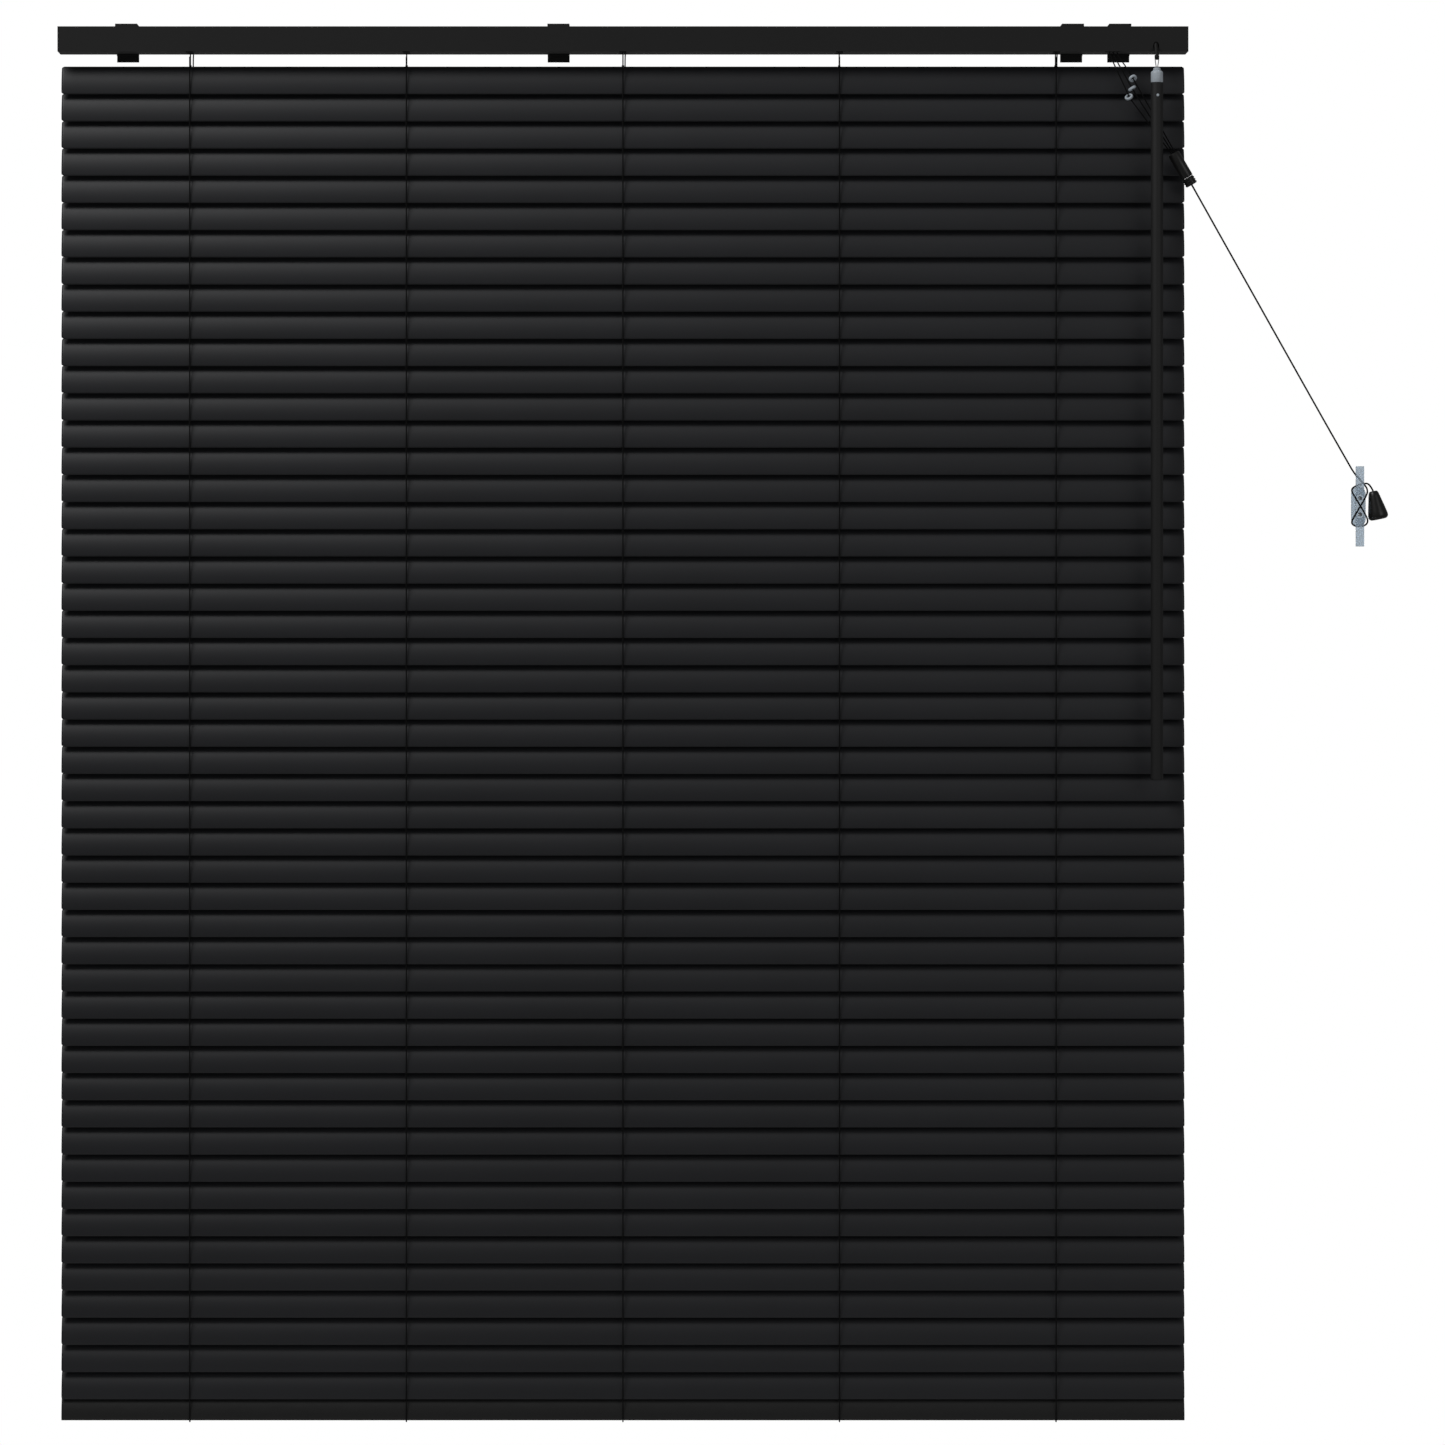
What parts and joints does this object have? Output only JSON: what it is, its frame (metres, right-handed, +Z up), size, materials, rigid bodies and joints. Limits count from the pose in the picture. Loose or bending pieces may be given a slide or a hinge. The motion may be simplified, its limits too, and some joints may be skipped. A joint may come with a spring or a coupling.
{
  "type": "venetian blinds",
  "caption": "Black horizontal slat blind with a metal headrail, wall brackets, ladder cords, a tilt wand and a lift cord wound round a wall cleat.",
  "frame": {"origin": "on the wall plane, at the middle of the headrail's top edge", "axes": "+X along the headrail towards the wand, +Y into the wall, +Z up"},
  "size_m": [1.2373, 0.051, 1.2996],
  "materials": {
    "black_enamel_steel": "satin black enamel",
    "black_enamel_slat": "satin black enamel on aluminium strip",
    "black_moulding": "fine matt moulded",
    "bare_steel": "drawn",
    "black_cord": "braided polyester",
    "cord_fitting_plastic": "polished moulding"
  },
  "bodies": {
    "fixed_frame": {"headrail": "black_enamel_steel", "headrail_fittings": "black_moulding", "wall_fixings": "black_enamel_steel", "lift_cords": "black_cord", "cord_pulls": "cord_fitting_plastic"},
    "tilt_drive": {"tilt_rod": "bare_steel"},
    "tilter_stem": {"tilter_worm": "black_moulding"},
    "wand": {"tilt_wand": "cord_fitting_plastic"},
    "bottom_bar": {"bottom_rail": "black_enamel_steel"},
    "front_ladders": {"ladder_cords_front": "black_cord"},
    "rear_ladders": {"ladder_cords_rear": "black_cord"},
    "slat_01_body": {"slat_01": "black_enamel_slat"},
    "slat_02_body": {"slat_02": "black_enamel_slat"},
    "slat_03_body": {"slat_03": "black_enamel_slat"},
    "slat_04_body": {"slat_04": "black_enamel_slat"},
    "slat_05_body": {"slat_05": "black_enamel_slat"},
    "slat_06_body": {"slat_06": "black_enamel_slat"},
    "slat_07_body": {"slat_07": "black_enamel_slat"},
    "slat_08_body": {"slat_08": "black_enamel_slat"},
    "slat_09_body": {"slat_09": "black_enamel_slat"},
    "slat_10_body": {"slat_10": "black_enamel_slat"},
    "slat_11_body": {"slat_11": "black_enamel_slat"},
    "slat_12_body": {"slat_12": "black_enamel_slat"},
    "slat_13_body": {"slat_13": "black_enamel_slat"},
    "slat_14_body": {"slat_14": "black_enamel_slat"},
    "slat_15_body": {"slat_15": "black_enamel_slat"},
    "slat_16_body": {"slat_16": "black_enamel_slat"},
    "slat_17_body": {"slat_17": "black_enamel_slat"},
    "slat_18_body": {"slat_18": "black_enamel_slat"},
    "slat_19_body": {"slat_19": "black_enamel_slat"},
    "slat_20_body": {"slat_20": "black_enamel_slat"},
    "slat_21_body": {"slat_21": "black_enamel_slat"},
    "slat_22_body": {"slat_22": "black_enamel_slat"},
    "slat_23_body": {"slat_23": "black_enamel_slat"},
    "slat_24_body": {"slat_24": "black_enamel_slat"},
    "slat_25_body": {"slat_25": "black_enamel_slat"},
    "slat_26_body": {"slat_26": "black_enamel_slat"},
    "slat_27_body": {"slat_27": "black_enamel_slat"},
    "slat_28_body": {"slat_28": "black_enamel_slat"},
    "slat_29_body": {"slat_29": "black_enamel_slat"},
    "slat_30_body": {"slat_30": "black_enamel_slat"},
    "slat_31_body": {"slat_31": "black_enamel_slat"},
    "slat_32_body": {"slat_32": "black_enamel_slat"},
    "slat_33_body": {"slat_33": "black_enamel_slat"},
    "slat_34_body": {"slat_34": "black_enamel_slat"},
    "slat_35_body": {"slat_35": "black_enamel_slat"},
    "slat_36_body": {"slat_36": "black_enamel_slat"},
    "slat_37_body": {"slat_37": "black_enamel_slat"},
    "slat_38_body": {"slat_38": "black_enamel_slat"},
    "slat_39_body": {"slat_39": "black_enamel_slat"},
    "slat_40_body": {"slat_40": "black_enamel_slat"},
    "slat_41_body": {"slat_41": "black_enamel_slat"},
    "slat_42_body": {"slat_42": "black_enamel_slat"},
    "slat_43_body": {"slat_43": "black_enamel_slat"},
    "slat_44_body": {"slat_44": "black_enamel_slat"},
    "slat_45_body": {"slat_45": "black_enamel_slat"},
    "slat_46_body": {"slat_46": "black_enamel_slat"},
    "slat_47_body": {"slat_47": "black_enamel_slat"},
    "slat_48_body": {"slat_48": "black_enamel_slat"},
    "slat_49_body": {"slat_49": "black_enamel_slat"}
  },
  "joints": [
    {"name": "tilt", "type": "hinge", "parent": "fixed_frame", "child": "tilt_drive", "pos_m": [0, -0.019, -0.011], "axis": [-1, 0, 0], "range_deg": [0, 150]},
    {"name": "worm_turn", "type": "hinge", "parent": "fixed_frame", "child": "tilter_stem", "pos_m": [0.495, -0.02482, -0.00581], "axis": [0, -0.6652, -0.7466], "range_deg": [0, 1800]},
    {"name": "wand_turn", "type": "hinge", "parent": "fixed_frame", "child": "wand", "pos_m": [0.495, -0.04498, -0.053], "axis": [0, 0, -1], "range_deg": [0, 1800]},
    {"name": "bottom_rail_tilt", "type": "hinge", "parent": "fixed_frame", "child": "bottom_bar", "pos_m": [0, -0.019, -1.2843], "axis": [-1, 0, 0], "range_deg": [0, 150]},
    {"name": "front_ladder_shift", "type": "hinge", "parent": "tilt_drive", "child": "front_ladders", "pos_m": [0, -0.02252, -0.02414], "axis": [-1, 0, 0], "range_deg": [-150, 0]},
    {"name": "rear_ladder_shift", "type": "hinge", "parent": "tilt_drive", "child": "rear_ladders", "pos_m": [0, -0.01548, 0.00214], "axis": [-1, 0, 0], "range_deg": [-150, 0]},
    {"name": "slat_01_tilt", "type": "hinge", "parent": "fixed_frame", "child": "slat_01_body", "pos_m": [0, -0.019, -0.0488], "axis": [-1, 0, 0], "range_deg": [0, 150]},
    {"name": "slat_02_tilt", "type": "hinge", "parent": "fixed_frame", "child": "slat_02_body", "pos_m": [0, -0.019, -0.0741], "axis": [-1, 0, 0], "range_deg": [0, 150]},
    {"name": "slat_03_tilt", "type": "hinge", "parent": "fixed_frame", "child": "slat_03_body", "pos_m": [0, -0.019, -0.0994], "axis": [-1, 0, 0], "range_deg": [0, 150]},
    {"name": "slat_04_tilt", "type": "hinge", "parent": "fixed_frame", "child": "slat_04_body", "pos_m": [0, -0.019, -0.1247], "axis": [-1, 0, 0], "range_deg": [0, 150]},
    {"name": "slat_05_tilt", "type": "hinge", "parent": "fixed_frame", "child": "slat_05_body", "pos_m": [0, -0.019, -0.15], "axis": [-1, 0, 0], "range_deg": [0, 150]},
    {"name": "slat_06_tilt", "type": "hinge", "parent": "fixed_frame", "child": "slat_06_body", "pos_m": [0, -0.019, -0.1753], "axis": [-1, 0, 0], "range_deg": [0, 150]},
    {"name": "slat_07_tilt", "type": "hinge", "parent": "fixed_frame", "child": "slat_07_body", "pos_m": [0, -0.019, -0.2006], "axis": [-1, 0, 0], "range_deg": [0, 150]},
    {"name": "slat_08_tilt", "type": "hinge", "parent": "fixed_frame", "child": "slat_08_body", "pos_m": [0, -0.019, -0.2259], "axis": [-1, 0, 0], "range_deg": [0, 150]},
    {"name": "slat_09_tilt", "type": "hinge", "parent": "fixed_frame", "child": "slat_09_body", "pos_m": [0, -0.019, -0.2512], "axis": [-1, 0, 0], "range_deg": [0, 150]},
    {"name": "slat_10_tilt", "type": "hinge", "parent": "fixed_frame", "child": "slat_10_body", "pos_m": [0, -0.019, -0.2765], "axis": [-1, 0, 0], "range_deg": [0, 150]},
    {"name": "slat_11_tilt", "type": "hinge", "parent": "fixed_frame", "child": "slat_11_body", "pos_m": [0, -0.019, -0.3018], "axis": [-1, 0, 0], "range_deg": [0, 150]},
    {"name": "slat_12_tilt", "type": "hinge", "parent": "fixed_frame", "child": "slat_12_body", "pos_m": [0, -0.019, -0.3271], "axis": [-1, 0, 0], "range_deg": [0, 150]},
    {"name": "slat_13_tilt", "type": "hinge", "parent": "fixed_frame", "child": "slat_13_body", "pos_m": [0, -0.019, -0.3524], "axis": [-1, 0, 0], "range_deg": [0, 150]},
    {"name": "slat_14_tilt", "type": "hinge", "parent": "fixed_frame", "child": "slat_14_body", "pos_m": [0, -0.019, -0.3777], "axis": [-1, 0, 0], "range_deg": [0, 150]},
    {"name": "slat_15_tilt", "type": "hinge", "parent": "fixed_frame", "child": "slat_15_body", "pos_m": [0, -0.019, -0.403], "axis": [-1, 0, 0], "range_deg": [0, 150]},
    {"name": "slat_16_tilt", "type": "hinge", "parent": "fixed_frame", "child": "slat_16_body", "pos_m": [0, -0.019, -0.4283], "axis": [-1, 0, 0], "range_deg": [0, 150]},
    {"name": "slat_17_tilt", "type": "hinge", "parent": "fixed_frame", "child": "slat_17_body", "pos_m": [0, -0.019, -0.4536], "axis": [-1, 0, 0], "range_deg": [0, 150]},
    {"name": "slat_18_tilt", "type": "hinge", "parent": "fixed_frame", "child": "slat_18_body", "pos_m": [0, -0.019, -0.4789], "axis": [-1, 0, 0], "range_deg": [0, 150]},
    {"name": "slat_19_tilt", "type": "hinge", "parent": "fixed_frame", "child": "slat_19_body", "pos_m": [0, -0.019, -0.5042], "axis": [-1, 0, 0], "range_deg": [0, 150]},
    {"name": "slat_20_tilt", "type": "hinge", "parent": "fixed_frame", "child": "slat_20_body", "pos_m": [0, -0.019, -0.5295], "axis": [-1, 0, 0], "range_deg": [0, 150]},
    {"name": "slat_21_tilt", "type": "hinge", "parent": "fixed_frame", "child": "slat_21_body", "pos_m": [0, -0.019, -0.5548], "axis": [-1, 0, 0], "range_deg": [0, 150]},
    {"name": "slat_22_tilt", "type": "hinge", "parent": "fixed_frame", "child": "slat_22_body", "pos_m": [0, -0.019, -0.5801], "axis": [-1, 0, 0], "range_deg": [0, 150]},
    {"name": "slat_23_tilt", "type": "hinge", "parent": "fixed_frame", "child": "slat_23_body", "pos_m": [0, -0.019, -0.6054], "axis": [-1, 0, 0], "range_deg": [0, 150]},
    {"name": "slat_24_tilt", "type": "hinge", "parent": "fixed_frame", "child": "slat_24_body", "pos_m": [0, -0.019, -0.6307], "axis": [-1, 0, 0], "range_deg": [0, 150]},
    {"name": "slat_25_tilt", "type": "hinge", "parent": "fixed_frame", "child": "slat_25_body", "pos_m": [0, -0.019, -0.656], "axis": [-1, 0, 0], "range_deg": [0, 150]},
    {"name": "slat_26_tilt", "type": "hinge", "parent": "fixed_frame", "child": "slat_26_body", "pos_m": [0, -0.019, -0.6813], "axis": [-1, 0, 0], "range_deg": [0, 150]},
    {"name": "slat_27_tilt", "type": "hinge", "parent": "fixed_frame", "child": "slat_27_body", "pos_m": [0, -0.019, -0.7066], "axis": [-1, 0, 0], "range_deg": [0, 150]},
    {"name": "slat_28_tilt", "type": "hinge", "parent": "fixed_frame", "child": "slat_28_body", "pos_m": [0, -0.019, -0.7319], "axis": [-1, 0, 0], "range_deg": [0, 150]},
    {"name": "slat_29_tilt", "type": "hinge", "parent": "fixed_frame", "child": "slat_29_body", "pos_m": [0, -0.019, -0.7572], "axis": [-1, 0, 0], "range_deg": [0, 150]},
    {"name": "slat_30_tilt", "type": "hinge", "parent": "fixed_frame", "child": "slat_30_body", "pos_m": [0, -0.019, -0.7825], "axis": [-1, 0, 0], "range_deg": [0, 150]},
    {"name": "slat_31_tilt", "type": "hinge", "parent": "fixed_frame", "child": "slat_31_body", "pos_m": [0, -0.019, -0.8078], "axis": [-1, 0, 0], "range_deg": [0, 150]},
    {"name": "slat_32_tilt", "type": "hinge", "parent": "fixed_frame", "child": "slat_32_body", "pos_m": [0, -0.019, -0.8331], "axis": [-1, 0, 0], "range_deg": [0, 150]},
    {"name": "slat_33_tilt", "type": "hinge", "parent": "fixed_frame", "child": "slat_33_body", "pos_m": [0, -0.019, -0.8584], "axis": [-1, 0, 0], "range_deg": [0, 150]},
    {"name": "slat_34_tilt", "type": "hinge", "parent": "fixed_frame", "child": "slat_34_body", "pos_m": [0, -0.019, -0.8837], "axis": [-1, 0, 0], "range_deg": [0, 150]},
    {"name": "slat_35_tilt", "type": "hinge", "parent": "fixed_frame", "child": "slat_35_body", "pos_m": [0, -0.019, -0.909], "axis": [-1, 0, 0], "range_deg": [0, 150]},
    {"name": "slat_36_tilt", "type": "hinge", "parent": "fixed_frame", "child": "slat_36_body", "pos_m": [0, -0.019, -0.9343], "axis": [-1, 0, 0], "range_deg": [0, 150]},
    {"name": "slat_37_tilt", "type": "hinge", "parent": "fixed_frame", "child": "slat_37_body", "pos_m": [0, -0.019, -0.9596], "axis": [-1, 0, 0], "range_deg": [0, 150]},
    {"name": "slat_38_tilt", "type": "hinge", "parent": "fixed_frame", "child": "slat_38_body", "pos_m": [0, -0.019, -0.9849], "axis": [-1, 0, 0], "range_deg": [0, 150]},
    {"name": "slat_39_tilt", "type": "hinge", "parent": "fixed_frame", "child": "slat_39_body", "pos_m": [0, -0.019, -1.0102], "axis": [-1, 0, 0], "range_deg": [0, 150]},
    {"name": "slat_40_tilt", "type": "hinge", "parent": "fixed_frame", "child": "slat_40_body", "pos_m": [0, -0.019, -1.0355], "axis": [-1, 0, 0], "range_deg": [0, 150]},
    {"name": "slat_41_tilt", "type": "hinge", "parent": "fixed_frame", "child": "slat_41_body", "pos_m": [0, -0.019, -1.0608], "axis": [-1, 0, 0], "range_deg": [0, 150]},
    {"name": "slat_42_tilt", "type": "hinge", "parent": "fixed_frame", "child": "slat_42_body", "pos_m": [0, -0.019, -1.0861], "axis": [-1, 0, 0], "range_deg": [0, 150]},
    {"name": "slat_43_tilt", "type": "hinge", "parent": "fixed_frame", "child": "slat_43_body", "pos_m": [0, -0.019, -1.1114], "axis": [-1, 0, 0], "range_deg": [0, 150]},
    {"name": "slat_44_tilt", "type": "hinge", "parent": "fixed_frame", "child": "slat_44_body", "pos_m": [0, -0.019, -1.1367], "axis": [-1, 0, 0], "range_deg": [0, 150]},
    {"name": "slat_45_tilt", "type": "hinge", "parent": "fixed_frame", "child": "slat_45_body", "pos_m": [0, -0.019, -1.162], "axis": [-1, 0, 0], "range_deg": [0, 150]},
    {"name": "slat_46_tilt", "type": "hinge", "parent": "fixed_frame", "child": "slat_46_body", "pos_m": [0, -0.019, -1.1873], "axis": [-1, 0, 0], "range_deg": [0, 150]},
    {"name": "slat_47_tilt", "type": "hinge", "parent": "fixed_frame", "child": "slat_47_body", "pos_m": [0, -0.019, -1.2126], "axis": [-1, 0, 0], "range_deg": [0, 150]},
    {"name": "slat_48_tilt", "type": "hinge", "parent": "fixed_frame", "child": "slat_48_body", "pos_m": [0, -0.019, -1.2379], "axis": [-1, 0, 0], "range_deg": [0, 150]},
    {"name": "slat_49_tilt", "type": "hinge", "parent": "fixed_frame", "child": "slat_49_body", "pos_m": [0, -0.019, -1.2632], "axis": [-1, 0, 0], "range_deg": [0, 150]}
  ],
  "couplings": [
    {"joint": "worm_turn", "follows": "tilt", "ratio": 12},
    {"joint": "wand_turn", "follows": "tilt", "ratio": 12},
    {"joint": "bottom_rail_tilt", "follows": "tilt", "ratio": 1},
    {"joint": "front_ladder_shift", "follows": "tilt", "ratio": -1},
    {"joint": "rear_ladder_shift", "follows": "tilt", "ratio": -1},
    {"joint": "slat_01_tilt", "follows": "tilt", "ratio": 1},
    {"joint": "slat_02_tilt", "follows": "tilt", "ratio": 1},
    {"joint": "slat_03_tilt", "follows": "tilt", "ratio": 1},
    {"joint": "slat_04_tilt", "follows": "tilt", "ratio": 1},
    {"joint": "slat_05_tilt", "follows": "tilt", "ratio": 1},
    {"joint": "slat_06_tilt", "follows": "tilt", "ratio": 1},
    {"joint": "slat_07_tilt", "follows": "tilt", "ratio": 1},
    {"joint": "slat_08_tilt", "follows": "tilt", "ratio": 1},
    {"joint": "slat_09_tilt", "follows": "tilt", "ratio": 1},
    {"joint": "slat_10_tilt", "follows": "tilt", "ratio": 1},
    {"joint": "slat_11_tilt", "follows": "tilt", "ratio": 1},
    {"joint": "slat_12_tilt", "follows": "tilt", "ratio": 1},
    {"joint": "slat_13_tilt", "follows": "tilt", "ratio": 1},
    {"joint": "slat_14_tilt", "follows": "tilt", "ratio": 1},
    {"joint": "slat_15_tilt", "follows": "tilt", "ratio": 1},
    {"joint": "slat_16_tilt", "follows": "tilt", "ratio": 1},
    {"joint": "slat_17_tilt", "follows": "tilt", "ratio": 1},
    {"joint": "slat_18_tilt", "follows": "tilt", "ratio": 1},
    {"joint": "slat_19_tilt", "follows": "tilt", "ratio": 1},
    {"joint": "slat_20_tilt", "follows": "tilt", "ratio": 1},
    {"joint": "slat_21_tilt", "follows": "tilt", "ratio": 1},
    {"joint": "slat_22_tilt", "follows": "tilt", "ratio": 1},
    {"joint": "slat_23_tilt", "follows": "tilt", "ratio": 1},
    {"joint": "slat_24_tilt", "follows": "tilt", "ratio": 1},
    {"joint": "slat_25_tilt", "follows": "tilt", "ratio": 1},
    {"joint": "slat_26_tilt", "follows": "tilt", "ratio": 1},
    {"joint": "slat_27_tilt", "follows": "tilt", "ratio": 1},
    {"joint": "slat_28_tilt", "follows": "tilt", "ratio": 1},
    {"joint": "slat_29_tilt", "follows": "tilt", "ratio": 1},
    {"joint": "slat_30_tilt", "follows": "tilt", "ratio": 1},
    {"joint": "slat_31_tilt", "follows": "tilt", "ratio": 1},
    {"joint": "slat_32_tilt", "follows": "tilt", "ratio": 1},
    {"joint": "slat_33_tilt", "follows": "tilt", "ratio": 1},
    {"joint": "slat_34_tilt", "follows": "tilt", "ratio": 1},
    {"joint": "slat_35_tilt", "follows": "tilt", "ratio": 1},
    {"joint": "slat_36_tilt", "follows": "tilt", "ratio": 1},
    {"joint": "slat_37_tilt", "follows": "tilt", "ratio": 1},
    {"joint": "slat_38_tilt", "follows": "tilt", "ratio": 1},
    {"joint": "slat_39_tilt", "follows": "tilt", "ratio": 1},
    {"joint": "slat_40_tilt", "follows": "tilt", "ratio": 1},
    {"joint": "slat_41_tilt", "follows": "tilt", "ratio": 1},
    {"joint": "slat_42_tilt", "follows": "tilt", "ratio": 1},
    {"joint": "slat_43_tilt", "follows": "tilt", "ratio": 1},
    {"joint": "slat_44_tilt", "follows": "tilt", "ratio": 1},
    {"joint": "slat_45_tilt", "follows": "tilt", "ratio": 1},
    {"joint": "slat_46_tilt", "follows": "tilt", "ratio": 1},
    {"joint": "slat_47_tilt", "follows": "tilt", "ratio": 1},
    {"joint": "slat_48_tilt", "follows": "tilt", "ratio": 1},
    {"joint": "slat_49_tilt", "follows": "tilt", "ratio": 1}
  ]
}
